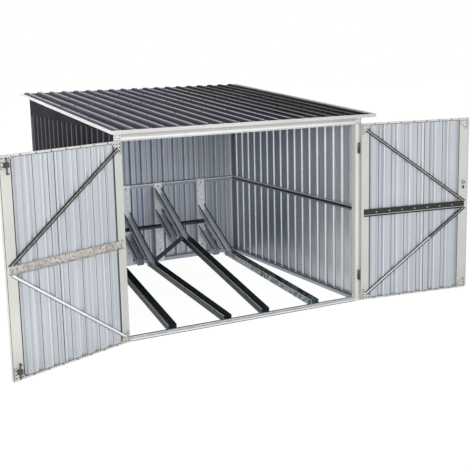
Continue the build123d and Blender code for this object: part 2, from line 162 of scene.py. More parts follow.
paints = {  # pale, deep, dirt, height the dirt reaches, roughness, shine
    "whitePaint": ("#f1f1f0", "#e8e8e6", "#a9a6a0", 0.20, 0.40, 0.5),
    # the header's white, darkened: painted shade under the roof lip
    "headerShadedWhite": ("#cbcbc9", "#c1c1bf", "#a9a6a0", 0.20, 0.40, 0.5),
    "creamPaint": ("#d3d2cd", "#c7c7c2", "#9b968c", 0.20, 0.40, 0.5),
    "wallPaint": ("#302f36", "#26272c", "#54524f", 0.16, 0.34, 0.08),
    # the gables' outside coat is darker than the wall paint: painted shade under the verge
    "gableShadedPaint": ("#121217", "#0d0d11", "#1f1e22", 0.01, 0.45, 0.02),
    "roofPaint": ("#1e1d21", "#17161a", "#2f2d33", 0.10, 0.40, 0.01),
    # painted sheen on the left-facing rib flanks, and painted highlight on the rib crests
    "roofFlankSheen": ("#605d6b", "#52505d", "#6a6773", 0.10, 0.38, 0.02),
    "roofCrestHighlight": ("#b0aebe", "#a19fae", "#82808c", 0.10, 0.34, 0.04),
    "innerCoat": ("#c8ccd1", "#bdc1c8", "#a4a8ae", 0.12, 0.32, 0.5),
    # inside the side walls and gables: the inner coat darkened as painted shade, fading to near white towards the
    # doorway as painted light
    "wallInnerShadeAndLight": ("#949ba7", "#868e9a", "#82868d", 0.12, 0.30, 0.5),
    "rearInner": ("#c3c8d4", "#b3bac9", "#9da2ad", 0.12, 0.30, 0.5),
    # painted highlight: pale strips beside the ribs, and the pale brace webs; painted shade: dark strips beside the
    # ribs
    "ribGleam": ("#f4f6f8", "#e9ecef", "#c0c3c6", 0.08, 0.26, 0.5),
    "ribShade": ("#666b74", "#5a5f68", "#4e5258", 0.08, 0.36, 0.3),
    "trimPaint": ("#d1d1d0", "#c6c5c4", "#8f8d89", 0.04, 0.38, 0.5),
}
thinCoats = {  # coats thin enough for the zinc to show through, and how metallic each one looks
    "innerCoat": 0.30, "wallInnerShadeAndLight": 0.45, "rearInner": 0.45, "ribGleam": 0.20, "ribShade": 0.20,
}
paintFades = {  # axis, start, end, and the tint that comes in between them
    # on the roof the fades are painted sheen and highlight dying out towards the right
    "roofFlankSheen": ("X", -0.75, 0.35, "#0c0b0d"), "roofCrestHighlight": ("X", 0.20, 0.72, "#121113"),
    # the side walls' fade towards the door is painted light from the doorway
    "wallInnerShadeAndLight": ("Y", 0.10, -1.00, "#eceef1"), "rearInner": ("X", -0.20, 0.85, "#bcc1c6"),
}
rollerLines = {  # strength and tint of the upright lines that the rollers leave
    "innerCoat": (0.60, "#979da6"), "wallInnerShadeAndLight": (0.45, "#767e8b"), "rearInner": (0.80, "#7c8496"),
}
paintWear = {  # patterns: scale, detail, now and then roughness, and the part of the pattern that counts
    "clouds": (1.7, 4.0, (0.35, 0.65)),
    "rollerGrid": (80.0, 80.0, 0.2), "rollers": (1.0, 2.0, (0.45, 0.70)),
    "runGrid": (26.0, 26.0, 0.8), "runs": (1.0, 1.5, (0.52, 0.86)), "runStrength": 0.16,
    "speckle": (22.0, 6.0, 0.7, (0.3, 0.7)), "splashStrength": 0.42,
    "worn": (3.0, 1.0, (0.3, 0.7)), "wornChange": (-0.01, 0.07),
    "grain": (420.0, 2.0), "grainDepth": 0.00012, "plainGrain": 0.5, "thinGrain": 0.10,
}


def makePaint(name, values, wear):
    pale, deep, dirt, dirtTop, roughness, shine = values
    material, tree, shader, place = newMaterial(name)
    colour = blended(tree, patterned(tree, place, wear["clouds"]), srgb(pale), srgb(deep))
    if name in paintFades:
        axis, start, end, tint = paintFades[name]
        colour = blended(tree, ranged(tree, alongAxis(tree, place, axis), (start, end)), colour, srgb(tint))
    if name in rollerLines:
        strength, tint = rollerLines[name]
        lines = patterned(tree, stretched(tree, place, wear["rollerGrid"]), wear["rollers"], (0.0, strength))
        colour = blended(tree, lines, colour, srgb(tint))
    runs = patterned(tree, stretched(tree, place, wear["runGrid"]), wear["runs"], (0.0, wear["runStrength"]))
    colour = blended(tree, runs, colour, srgb(dirt))
    splash = ranged(tree, alongAxis(tree, place, "Z"), (0.0, dirtTop), (wear["splashStrength"], 0.0))
    splash = product(tree, splash, patterned(tree, place, wear["speckle"]))
    colour = blended(tree, splash, colour, srgb(dirt))
    worn = patterned(tree, place, wear["worn"], [roughness + change for change in wear["wornChange"]])
    shader.inputs["Specular IOR Level"].default_value = shine
    shader.inputs["Metallic"].default_value = thinCoats.get(name, 0.0)
    surfaced(tree, shader, place, colour, worn, wear, wear["thinGrain" if name in thinCoats else "plainGrain"])
    return material


zincs = {  # light, dark, dull, scale of the crystals, metal, roughness
    "sillZinc": ("#e8eaec", "#d6d9db", "#b0b3b4", 150.0, 0.30, 0.34),
    "paleZinc": ("#cfd3d6", "#b8bdc1", "#9b9ea0", 150.0, 0.50, 0.36),
    "wallZinc": ("#aab1bc", "#969da9", "#7d838d", 140.0, 0.50, 0.32),
    # near-white zinc: painted reflection on the rack uprights and the right upper brace web, painted highlight lines
    # on the rails
    "highlightZinc": ("#f4f6f7", "#e6e9eb", "#babfc4", 60.0, 0.20, 0.26),
    "warmZinc": ("#d3cfca", "#938d86", "#7d756c", 95.0, 0.35, 0.46),
    "guideZinc": ("#dadee6", "#c6ccd6", "#a4abb6", 170.0, 0.20, 0.30),
    # dark slate: the cross bar's own colour, and painted shade on the rail and sill lines, the rack rims and the
    # brace rims
    "slateAndShadeZinc": ("#23292d", "#1a1f22", "#30363a", 170.0, 0.30, 0.36),
    "channelOut": ("#1c2326", "#14191b", "#2b3337", 170.0, 0.20, 0.40),
    # a lighter copy of the channel slate: painted light inside the channels, where they lie in shade
    "channelInsideLit": ("#414c50", "#313b3f", "#566166", 170.0, 0.20, 0.38),
    # big pale and dark cells: painted reflection speckles on the fourth channel
    "speckledReflectionZinc": ("#a7b3b9", "#1b2226", "#1d2427", 38.0, 0.35, 0.26),
    # near-black zinc: painted dark reflection on the right door's mid rail, painted shade on the right braces' rims
    # and edges
    "darkReflectionAndShadeZinc": ("#2b2a29", "#201f1e", "#393634", 170.0, 0.30, 0.36),
    "braceZinc": ("#a6a5a3", "#8d8c8a", "#6b6966", 110.0, 0.45, 0.34),
    "hingeSteel": ("#3e3f40", "#2c2d2e", "#252423", 400.0, 0.30, 0.52),
    "lockSteel": ("#5a5c5e", "#434547", "#363432", 400.0, 0.60, 0.42),
    "screwZinc": ("#a5a8a9", "#85888a", "#66635e", 600.0, 0.70, 0.34),
    "darkScrew": ("#3a3b3d", "#28292b", "#1f1f1f", 600.0, 0.50, 0.42),
}
zincWear = {
    "stain": (9.0, 6.0, 0.65, (0.5, 0.8)), "stainStrength": 0.45,
    "rolledGrid": (6.0, 6.0, 40.0), "rolled": (4.0, 4.0, (0.3, 0.7)), "rolledChange": (-0.08, 0.12),
    "grain": (260.0, 3.0), "grainDepth": 0.00010, "grainStrength": 0.5,
}


def makeZinc(name, values, wear):
    light, dark, dull, crystalScale, metal, roughness = values
    material, tree, shader, place = newMaterial(name)
    colour = blended(tree, crystals(tree, place, crystalScale), srgb(light), srgb(dark))
    stain = patterned(tree, place, wear["stain"], (0.0, wear["stainStrength"]))
    colour = blended(tree, stain, colour, srgb(dull))
    rolled = patterned(tree, stretched(tree, place, wear["rolledGrid"]), wear["rolled"],
                       [roughness + change for change in wear["rolledChange"]])
    shader.inputs["Metallic"].default_value = metal
    surfaced(tree, shader, place, colour, rolled, wear, wear["grainStrength"])
    return material


# dark rubber: the roof's lap seal, and painted shade in the door panel gaps, along the panel seam and the left
# leaf's free edge
rubber = {
    "pale": "#26272a", "deep": "#1b1c1e", "clouds": (30.0, 4.0, (0.3, 0.7)),
    "dust": "#5a5a59", "dustClouds": (8.0, 6.0, 0.7, (0.5, 0.85)), "dustStrength": 0.5,
    "worn": (90.0, 3.0, (0.3, 0.7)), "roughness": (0.54, 0.72),
    "grain": (700.0, 2.0), "grainDepth": 0.00010, "grainStrength": 0.6,
}


def makeRubber(name, values):
    material, tree, shader, place = newMaterial(name)
    colour = blended(tree, patterned(tree, place, values["clouds"]), srgb(values["pale"]), srgb(values["deep"]))
    dust = patterned(tree, place, values["dustClouds"], (0.0, values["dustStrength"]))
    colour = blended(tree, dust, colour, srgb(values["dust"]))
    worn = patterned(tree, place, values["worn"], values["roughness"])
    surfaced(tree, shader, place, colour, worn, values, values["grainStrength"])
    return material


finishes = {name: makePaint(name, values, paintWear) for name, values in paints.items()}
finishes["sealAndShadeRubber"] = makeRubber("sealAndShadeRubber", rubber)
finishes.update({name: makeZinc(name, values, zincWear) for name, values in zincs.items()})
print("finishes made:", len(finishes))


# Coats on the CAD nodes: one outside, and another inside where the sheet has one

nodeCoats = {  # coat: the nodes that wear it
    "sillZinc": "base_sill_front",
    "wallZinc": "base_rail_left base_rail_right base_rail_rear mid_rail_left mid_rail_right mid_rail_rear",
    "paleZinc": "top_rail_left top_rail_right top_rail_rear",
    "whitePaint": "post_front_left post_front_right post_rear_left post_rear_right",
    # the header wears the darkened white: painted shade under the roof lip
    "headerShadedWhite": "header_front",
    "trimPaint": "roof_trim_front roof_trim_left roof_trim_right",
    "slateAndShadeZinc": "rack_cross_bar",
    "channelOut": "rack_tie_middle rack_tie_left tyre_channel_1 tyre_channel_2 tyre_channel_3",
    # the fourth channel wears painted reflection speckles
    "speckledReflectionZinc": "tyre_channel_4",
    "guideZinc": "wheel_guide_1 wheel_guide_2 wheel_guide_3 wheel_guide_4",
    "creamPaint": "left_door_frame right_door_frame right_door_cover_lip right_door_brace_lower",
    "warmZinc": "left_door_mid_rail",
    # the right door's rail and upper brace: painted dark reflection on the same zinc as the left door's
    "darkReflectionAndShadeZinc": "right_door_mid_rail right_door_brace_upper",
    "braceZinc": "left_door_brace_upper",
    # the lower left brace is painted near white: painted reflection
    "ribGleam": "left_door_brace_lower",
    "lockSteel": "left_door_bolt_upper left_door_bolt_lower",
    "hingeSteel": "right_door_latch",
}
sheetCoats = {  # node: outside coat, inside coat, the direction that faces outside
    # inside the side walls and gables the coat carries painted shade, and painted light near the doorway
    "wall_sheet_left": ("wallPaint", "wallInnerShadeAndLight", (-1, 0, 0)),
    "wall_sheet_right": ("wallPaint", "wallInnerShadeAndLight", (1, 0, 0)),
    "wall_sheet_rear": ("wallPaint", "rearInner", (0, 1, 0)),
    # outside the gables: painted shade under the verge
    "gable_left": ("gableShadedPaint", "wallInnerShadeAndLight", (-1, 0, 0)),
    "gable_right": ("gableShadedPaint", "wallInnerShadeAndLight", (1, 0, 0)),
    "roof_sheet_front": ("roofPaint", "innerCoat", (0, 0, 1)),
    "roof_sheet_rear": ("roofPaint", "innerCoat", (0, 0, 1)),
    "left_door_panel": ("wallPaint", "innerCoat", (-0.3665, 0.9304, 0)),
    "right_door_panel": ("wallPaint", "innerCoat", (0.1305, 0.9914, 0)),
}
coatLimits = {  # how a face is told apart: by how far it turns towards a side, or by its place in metres
    "outside": 0.05, "flankLeft": -0.2, "crestUp": 0.9, "crestRise": 0.007,
    "pin": (0.902, -1.0245), "knuckle": 0.0068, "hingeFront": -1.0004, "hingeSide": 0.9088,
    "strapDepth": -0.0004, "keeperDepth": 0.0199, "webDepth": 0.0215, "webUp": 0.2, "latchCase": 0.0262,
    "channelHalf": 0.0285, "channelFloor": 0.5, "channelWall": -0.001, "uprightY": 0.9395, "uprightHalf": 0.0405,
}


def coatWhole(name, *coats):
    mesh = cadNodes[name].data
    mesh.materials.clear()
    for coat in coats:
        mesh.materials.append(finishes[coat])
    return mesh


def coatNodes():
    coated = []
    for coat, names in nodeCoats.items():
        for name in names.split():
            coatWhole(name, coat)
            coated.append(name)
    for name, (outside, inside, direction) in sheetCoats.items():
        towards = Vector(direction)
        for face in coatWhole(name, outside, inside).polygons:
            face.material_index = 0 if face.normal.dot(towards) > coatLimits["outside"] else 1
        coated.append(name)
    return coated


def coatPart(node, coat, test):  # a second coat on the faces that a test picks by middle and direction
    mesh = cadNodes[node].data
    if finishes[coat].name not in mesh.materials:
        mesh.materials.append(finishes[coat])
    slotIndex = mesh.materials.find(finishes[coat].name)
    for face in mesh.polygons:
        if test(face.center, face.normal):
            face.material_index = slotIndex


coatedNodes = coatNodes()
print("nodes coated, left over:", [name for name in cadNodes if name not in coatedNodes])


# Where things are: door leaves, roof and bays for the tyres, in metres

leaves = {  # x and y of a leaf's hinge side and of its two directions, open as in the photograph
    "left": {"start": (-0.90944, -1.02743), "along": (-0.93042, -0.36650), "inward": (0.36650, -0.93042)},
    "right": {"start": (0.90993, -1.02554), "along": (0.99144, -0.13053), "inward": (-0.13053, -0.99144)},
}
roof = {"eaveY": -1.110, "eaveZ": 1.37188, "angle": math.atan(0.0738), "crest": 0.010}
bays = ((-0.565, 0.400, 0), (-0.150, 0.415, 1), (0.150, 0.400, 0), (0.565, 0.415, 1))  # middle, peak y, level


def leafPlace(side, s, z, n):  # s along the leaf from its hinge, n in from its outer face
    leaf = leaves[side]
    x = leaf["start"][0] + leaf["along"][0] * s + leaf["inward"][0] * n
    y = leaf["start"][1] + leaf["along"][1] * s + leaf["inward"][1] * n
    return Vector((x, y, z))


def leafDepth(side, point):  # how far a point lies in from the leaf's outer face
    leaf = leaves[side]
    dx, dy = point.x - leaf["start"][0], point.y - leaf["start"][1]
    return dx * leaf["inward"][0] + dy * leaf["inward"][1]


def roofPlace(x, s, n):  # s up the slope from the eave, n out from the roof plane
    c, d = math.cos(roof["angle"]), math.sin(roof["angle"])
    return Vector((x, roof["eaveY"] + s * c - n * d, roof["eaveZ"] + s * d + n * c))


roofUp = roofPlace(0, 0, 1) - roofPlace(0, 0, 0)


def roofRise(point):  # height of a point over the roof plane
    return (point - roofPlace(0, 0, 0)).dot(roofUp)


def facing(direction, upward=(0, 0, 1)):  # turn that points a piece's local z along a direction
    out = Vector(direction).normalized()
    side = Vector(upward).cross(out)
    if side.length < 0.001:
        side = Vector((1, 0, 0))
    side.normalize()
    return Matrix((side, out.cross(side), out)).transposed()


# Second coats: painted highlight and sheen on the roof ribs, bare hinges and bolt keepers, painted shade and
# reflection on the braces, painted light inside the channels, painted reflection on the uprights

braceCoats = {  # rim and web: the dark rims are painted shade on the flanges, the bright webs of the right braces painted reflection
    "left_door_brace_upper": ("slateAndShadeZinc", "warmZinc"), "right_door_brace_upper": ("darkReflectionAndShadeZinc", "highlightZinc"),
    "right_door_brace_lower": ("darkReflectionAndShadeZinc", "ribGleam"),
}
# inside coats of the bays: painted light in the first three, painted reflection speckles in the fourth
channelCoats = ("channelInsideLit", "channelInsideLit", "channelInsideLit", "speckledReflectionZinc")


def coatRibs(limits):  # painted highlight on the crests and painted sheen on the left-facing flanks, both fading out to the right; the pans keep the plain dark roof paint
    for node in ("roof_sheet_front", "roof_sheet_rear"):
        coatPart(node, "roofFlankSheen", lambda middle, normal:
                 normal.z > limits["outside"] and normal.x < limits["flankLeft"])
        coatPart(node, "roofCrestHighlight", lambda middle, normal:
                 normal.z > limits["crestUp"] and roofRise(middle) > limits["crestRise"])


def nearPin(point):  # on a hinge knuckle, whichever side it is
    pinX, pinY = coatLimits["pin"]
    return math.hypot(abs(point.x) - pinX, point.y - pinY) < coatLimits["knuckle"]


def coatHinges(side, limits):
    coatPart("post_front_" + side, "hingeSteel", lambda middle, normal:
             middle.y < limits["hingeFront"] and abs(middle.x) < limits["hingeSide"])
    coatPart(side + "_door_frame", "hingeSteel", lambda middle, normal:
             leafDepth(side, middle) < limits["strapDepth"] or nearPin(middle))
    coatPart(side + "_door_frame", "lockSteel", lambda middle, normal:
             leafDepth(side, middle) > limits["keeperDepth"])


def coatBrace(node, rim, web, limits):
    coatPart(node, rim, lambda middle, normal: True)
    coatPart(node, web, lambda middle, normal:
             leafDepth(node.split("_")[0], middle) < limits["webDepth"] and abs(normal.z) < limits["webUp"])


def coatBay(number, middleX, coat, limits):
    # the channel's inside faces take the bay's coat: painted light in bays 1 to 3, painted reflection speckles in
    # bay 4
    coatPart(f"tyre_channel_{number}", coat, lambda middle, normal:
             abs(middle.x - middleX) < limits["channelHalf"]
             and (normal.z > limits["channelFloor"] or normal.x * (middle.x - middleX) < limits["channelWall"]))
    # the uprights take the near-white zinc: painted reflection
    coatPart(f"wheel_guide_{number}", "highlightZinc", lambda middle, normal:
             middle.y > limits["uprightY"] and abs(middle.x - middleX) < limits["uprightHalf"])


coatRibs(coatLimits)
for side in leaves:
    coatHinges(side, coatLimits)
for node, (rim, web) in braceCoats.items():
    coatBrace(node, rim, web, coatLimits)
coatPart("right_door_latch", "creamPaint", lambda middle, normal:
         leafDepth("right", middle) < coatLimits["latchCase"])
for number, coat in enumerate(channelCoats, 1):
    coatBay(number, bays[number - 1][0], coat, coatLimits)
print("second coats laid")


# Modelling helpers around Blender's own operators

def deselectAll():
    if bpy.context.object and bpy.context.object.mode != "OBJECT":
        bpy.ops.object.mode_set(mode="OBJECT")
    bpy.ops.object.select_all(action="DESELECT")


def pickOnly(piece):
    deselectAll()
    piece.select_set(True)
    bpy.context.view_layer.objects.active = piece


def pickFaces(piece, test):  # select faces by their place or direction, from object mode
    bpy.ops.object.mode_set(mode="OBJECT")
    for vertex in piece.data.vertices:
        vertex.select = False
    for edge in piece.data.edges:
        edge.select = False
    for face in piece.data.polygons:
        face.select = test(face)
    bpy.ops.object.mode_set(mode="EDIT")
    bpy.ops.mesh.select_mode(type="FACE")


def settle(piece, name, finish, body):  # place into the mesh, finish and body
    pickOnly(piece)
    bpy.ops.object.transform_apply()
    piece.name = name
    piece.data.name = name
    piece.data.materials.clear()
    piece.data.materials.append(finishes[finish])
    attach(piece, body)
    return piece


def smoothEdges(piece, degreesApart=35):
    pickOnly(piece)
    bpy.ops.object.shade_smooth_by_angle(angle=math.radians(degreesApart))


def addStrip(start, end, width, depth, out, bevel=0.0004):  # a bar standing on its line, bevelled all round
    start, end, out = Vector(start), Vector(end), Vector(out).normalized()
    along = (end - start).normalized()
    across = out.cross(along).normalized()
    out = along.cross(across)
    turn = Matrix((along, across, out)).transposed()
    deselectAll()
    bpy.ops.mesh.primitive_cube_add(size=1, location=(start + end) / 2 + out * depth / 2,
                                    rotation=turn.to_euler(), scale=((end - start).length, width, depth))
    piece = bpy.context.object
    bpy.ops.object.transform_apply(location=False, rotation=False, scale=True)
    bpy.ops.object.mode_set(mode="EDIT")
    bpy.ops.mesh.select_all(action="SELECT")
    bpy.ops.mesh.bevel(offset=bevel, segments=2, affect="EDGES")
    bpy.ops.object.mode_set(mode="OBJECT")
    return piece


def joined(pieces):
    deselectAll()
    for piece in pieces:
        piece.select_set(True)
    bpy.context.view_layer.objects.active = pieces[0]
    if len(pieces) > 1:
        bpy.ops.object.join()
    return bpy.context.object


def copiesAt(template, places):  # one copy with its own mesh at each place and direction
    copies = []
    for point, out in places:
        copy = template.copy()
        copy.data = template.data.copy()
        bpy.context.scene.collection.objects.link(copy)
        copy.matrix_world = Matrix.Translation(point) @ facing(out).to_4x4()
        copies.append(copy)
    return joined(copies)


def dropTemplate(template):
    bpy.data.objects.remove(template, do_unlink=True)


def steps(first, pitch, count):
    return [first + pitch * i for i in range(count)]


# Fasteners: each kind is modelled once, and copied

fasteners = {  # sides, washer radius and thickness, head radius and height
    "sheetScrew": (8, 0.0062, 0.0010, 0.0040, 0.0026),
    "flatScrew": (10, 0.0036, 0.0008, 0.0031, 0.0010),
    "plateScrew": (10, 0.0046, 0.0009, 0.0038, 0.0014),
    "frameBolt": (12, 0.0085, 0.0014, 0.0060, 0.0040),
}
headShape = {"seat": 0.0002, "straight": 0.75, "crown": 0.25, "crownInset": 0.3}  # all but the seat are shares


def modelScrew(values, shape):
    sides, washerRadius, washerThick, headRadius, headHeight = values
    deselectAll()
    bpy.ops.mesh.primitive_cylinder_add(vertices=sides, radius=washerRadius, depth=washerThick,
                                        location=(0, 0, washerThick / 2))
    screw = bpy.context.object
    pickFaces(screw, lambda face: face.normal.z > 0.9)
    bpy.ops.mesh.inset(thickness=washerRadius - headRadius, depth=shape["seat"])
    straight = (0, 0, headHeight * shape["straight"])
    bpy.ops.mesh.extrude_region_move(TRANSFORM_OT_translate={"value": straight})
    bpy.ops.mesh.inset(thickness=headRadius * shape["crownInset"], depth=headHeight * shape["crown"])
    bpy.ops.object.mode_set(mode="OBJECT")
    pickOnly(screw)
    bpy.ops.object.transform_apply()
    return screw


screws = {kind: modelScrew(values, headShape) for kind, values in fasteners.items()}


# Roof: screws on the rib crests, a seal on the end lap, screws through the trims

roofFixings = {
    "ribs": steps(-0.9315, 0.1035, 19),
    "rows": ((0.035, 1), (0.580, 2), (1.200, 1), (1.680, 2), (2.095, 1)),  # way up the slope, every how many ribs
    "lapStart": 1.143, "lapEnd": 1.263, "rearEnd": 2.1599, "lapLift": 0.00141,
    "lipScrewsX": steps(-0.9, 0.2, 10), "lipFace": -0.0015,
    "verge": 0.985, "vergeScrews": steps(0.15, 0.31, 7), "trimMiddle": 0.004,
}
lapBead = {"half": 0.9820, "foot": 0.020, "top": 0.011, "rise": 0.009, "lift": 0.0012, "ahead": 0.0035,
           "width": 0.004, "thick": 0.0016}


def roofLift(s):  # the rear course lies over the front one
    if s < roofFixings["lapStart"]:
        return 0.0
    return roofFixings["lapLift"] * (roofFixings["rearEnd"] - s) / (roofFixings["rearEnd"] - roofFixings["lapEnd"])


def roofScrews(values):
    places = [(roofPlace(x, s, roof["crest"] + roofLift(s)), roofUp)
              for s, every in values["rows"] for x in values["ribs"][::every]]
    settle(copiesAt(screws["sheetScrew"], places), "roof_screws", "roofPaint", "shelter")


def lapSeal(values):  # a bead that follows the ribs along the edge of the rear course
    line = [(-values["half"], 0.0)]
    for x in roofFixings["ribs"]:
        line += [(x - values["foot"], 0.0), (x - values["top"], values["rise"]),
                 (x + values["top"], values["rise"]), (x + values["foot"], 0.0)]
    line.append((values["half"], 0.0))
    s = roofFixings["lapStart"] - values["ahead"]
    deselectAll()
    bpy.ops.mesh.primitive_plane_add(size=values["width"], location=roofPlace(line[0][0], s, values["lift"]))
    bead = bpy.context.object
    bpy.ops.object.transform_apply()
    bpy.ops.object.mode_set(mode="EDIT")
    bpy.ops.mesh.select_mode(type="VERT")
    bpy.ops.mesh.select_all(action="DESELECT")
    bpy.ops.object.mode_set(mode="OBJECT")
    for vertex in bead.data.vertices:
        vertex.select = vertex.co.x > line[0][0]
    bpy.ops.object.mode_set(mode="EDIT")
    for here, there in zip(line, line[1:]):
        move = roofPlace(there[0], s, there[1]) - roofPlace(here[0], s, here[1])
        bpy.ops.mesh.extrude_region_move(TRANSFORM_OT_translate={"value": tuple(move)})
    bpy.ops.object.mode_set(mode="OBJECT")
    thick = bead.modifiers.new("thickness", "SOLIDIFY")
    thick.thickness = values["thick"]
    thick.offset = 1.0
    bpy.ops.object.modifier_apply(modifier=thick.name)
    settle(bead, "roof_lap_seal", "sealAndShadeRubber", "shelter")


def trimScrews(values):
    places = [(roofPlace(x, values["lipFace"], values["trimMiddle"]), (0, -1, 0)) for x in values["lipScrewsX"]]
    for side in (-1, 1):
        places += [(roofPlace(side * values["verge"], s, values["trimMiddle"]), (side, 0, 0))
                   for s in values["vergeScrews"]]
    settle(copiesAt(screws["flatScrew"], places), "roof_trim_screws", "trimPaint", "shelter")


roofScrews(roofFixings)
lapSeal(lapBead)
trimScrews(roofFixings)
print("roof fixings made")


# Walls: screws along the rails, painted shade and highlight lines on the rails, painted highlight and shade strips
# beside the ribs inside

wallFixings = {
    "sidePans": steps(-0.8597, 0.1123, 16), "sideFace": 0.912, "sideRows": (0.022, 0.693, 1.340),
    "rearPans": steps(-0.765, 0.102, 16), "rearFace": 0.978, "rearRows": (0.022, 0.693, 1.480),
}
railLines = {  # each line: height of its middle, width, group; dark lines are painted shade, bright lines painted highlight
    "sideX": 0.889, "sideHalf": 0.950, "rearY": 0.955, "rearHalf": 0.885, "proud": 0.0010,
    "side": ((0.7070, 0.0040, "bright"), (0.6920, 0.0160, "dark"), (0.0310, 0.0120, "dark")),
    "rear": ((0.7082, 0.0050, "dark"), (0.7015, 0.0070, "bright"), (0.0340, 0.0060, "dark")),
}
rearLines = {  # pale strips of painted highlight on one side of each rib, dark strips of painted shade on the other
    "ribs": steps(-0.816, 0.102, 17), "sheetY": 0.977, "low": 0.045, "high": 1.455, "proud": 0.0010,
    "beadStep": 0.026, "beadWidth": 0.0040, "lineStep": -0.038, "lineWidth": 0.0050,
}
sideGleams = {
    "ribs": steps(-0.916, 0.1123, 17), "flankX": 0.9175, "flankStep": 0.0172, "out": (-0.394, -0.919),
    "width": 0.0100, "low": 0.006, "high": 1.350, "proud": 0.0010, "bevel": 0.0003,
}


def wallScrews(values):
    places = []
    for side in (-1, 1):
        places += [(Vector((side * values["sideFace"], y, z)), (side, 0, 0))
                   for y in values["sidePans"] for z in values["sideRows"]]
    places += [(Vector((x, values["rearFace"], z)), (0, 1, 0))
               for x in values["rearPans"] for z in values["rearRows"]]
    settle(copiesAt(screws["sheetScrew"], places), "wall_screws", "wallPaint", "shelter")


def railShadeAndHighlight(values):
    groups = {"dark": [], "bright": []}
    sideY, rearX = values["sideHalf"], values["rearHalf"]
    for z, width, group in values["side"]:
        for side in (-1, 1):
            x = side * values["sideX"]
            groups[group].append(addStrip((x, -sideY, z), (x, sideY, z), width, values["proud"], (-side, 0, 0)))
    for z, width, group in values["rear"]:
        y = values["rearY"]
        groups[group].append(addStrip((-rearX, y, z), (rearX, y, z), width, values["proud"], (0, -1, 0)))
    settle(joined(groups["dark"]), "rail_upper_edges", "slateAndShadeZinc", "shelter")
    settle(joined(groups["bright"]), "rail_highlight_lines", "highlightZinc", "shelter")


def rearRibHighlightAndShade(values):
    for kind, name, finish in (("bead", "rear_wall_rib_highlights", "ribGleam"), ("line", "rear_wall_rib_shade", "ribShade")):
        strips = []
        for rib in values["ribs"]:
            x, y = rib + values[kind + "Step"], values["sheetY"]
            strips.append(addStrip((x, y, values["low"]), (x, y, values["high"]),
                                   values[kind + "Width"], values["proud"], (0, -1, 0)))
        settle(joined(strips), name, finish, "shelter")


def ribGleams(values):  # pale strip of painted highlight on the flank of each side-wall rib
    outX, outY = values["out"]
    strips = []
    for side in (-1, 1):
        for rib in values["ribs"]:
            x, y = side * values["flankX"], rib + values["flankStep"]
            strips.append(addStrip((x, y, values["low"]), (x, y, values["high"]), values["width"],
                                   values["proud"], (side * outX, outY, 0), values["bevel"]))
    settle(joined(strips), "side_wall_gleams", "ribGleam", "shelter")


wallScrews(wallFixings)
railShadeAndHighlight(railLines)
rearRibHighlightAndShade(rearLines)
ribGleams(sideGleams)
print("wall fixings made")


# Front: header lip and corner plates, sill ridge and painted shade lines on the sill, post and hinge fixings

headerFixings = {
    "frontY": -1.0, "lipHalf": 0.886, "lipLow": 1.3145, "lipHigh": 1.3265, "lipProud": 0.0020, "lipBevel": 0.0008,
    "plateNear": 0.888, "plateFar": 0.934, "plateLow": 1.3150, "plateHigh": 1.3660, "plateProud": 0.0015,
    "plateScrews": ((0.008, 0.008), (0.008, 0.024), (0.008, 0.042), (0.024, 0.008),
                    (0.038, 0.008), (0.038, 0.024), (0.038, 0.042)),
}
sillHalf = 0.8865
sillLines = {  # piece: finish, slot, y, z, width, depth, direction, bevel
    "sill_ridge": ("paleZinc", "galvanised_trim", -0.9800, 0.0160, 0.0022, 0.0022, (0, 0, 1), 0.0005),
    # the back edge and the foot line are painted shade along the sill
    "sill_back_shade": ("slateAndShadeZinc", "galvanised_rack", -0.9580, 0.0220, 0.0050, 0.0020, (0, 0, 1), 0.0005),
    "sill_foot_shade": ("slateAndShadeZinc", "galvanised_rack", -1.0000, 0.0030, 0.0040, 0.0006, (0, -1, 0), 0.0002),
}
postFixings = {
    "screwX": 0.9280, "frontY": -1.0, "screwsZ": (0.060, 0.420, 0.690, 0.960, 1.285),
    "plateX": 0.9210, "plateY": -1.003, "plateScrews": (-0.026, 0.0, 0.026),
}
hinges = {"x": 0.902, "y": -1.0245, "levels": (0.201, 1.135), "half": 0.037}
pinCap = {"sides": 20, "radius": 0.0058, "height": 0.0022, "middle": 0.0017,
          "dome": ((0.0018, 0.0009), (0.0020, 0.0005))}  # inset and rise of each ring


def headerLip(values):
    frontY = values["frontY"]
    z = (values["lipLow"] + values["lipHigh"]) / 2
    lip = addStrip((-values["lipHalf"], frontY, z), (values["lipHalf"], frontY, z),
                   values["lipHigh"] - values["lipLow"], values["lipProud"], (0, -1, 0), values["lipBevel"])
    settle(lip, "header_lip", "whitePaint", "shelter")
    plates, places = [], []
    for side in (-1, 1):
        x = side * (values["plateNear"] + values["plateFar"]) / 2
        plates.append(addStrip((x, frontY, values["plateLow"]), (x, frontY, values["plateHigh"]),
                               values["plateFar"] - values["plateNear"], values["plateProud"], (0, -1, 0)))
        places += [(Vector((side * (values["plateNear"] + across), frontY - values["plateProud"],
                            values["plateLow"] + up)), (0, -1, 0)) for across, up in values["plateScrews"]]
    settle(joined(plates), "header_corner_plates", "whitePaint", "shelter")
    settle(copiesAt(screws["flatScrew"], places), "header_corner_screws", "darkScrew", "shelter")


def sillRidges(lines):
    for name, (finish, slot, y, z, width, depth, out, bevel) in lines.items():
        strip = addStrip((-sillHalf, y, z), (sillHalf, y, z), width, depth, out, bevel)
        settle(strip, name, finish, "shelter")


def postScrews(values):
    places = [(Vector((side * values["screwX"], values["frontY"], z)), (0, -1, 0))
              for side in (-1, 1) for z in values["screwsZ"]]
    settle(copiesAt(screws["flatScrew"], places), "post_screws", "screwZinc", "shelter")
    places = [(Vector((side * values["plateX"], values["plateY"], z + up)), (0, -1, 0))
              for side in (-1, 1) for z in hinges["levels"] for up in values["plateScrews"]]
    settle(copiesAt(screws["flatScrew"], places), "hinge_plate_screws", "darkScrew", "shelter")


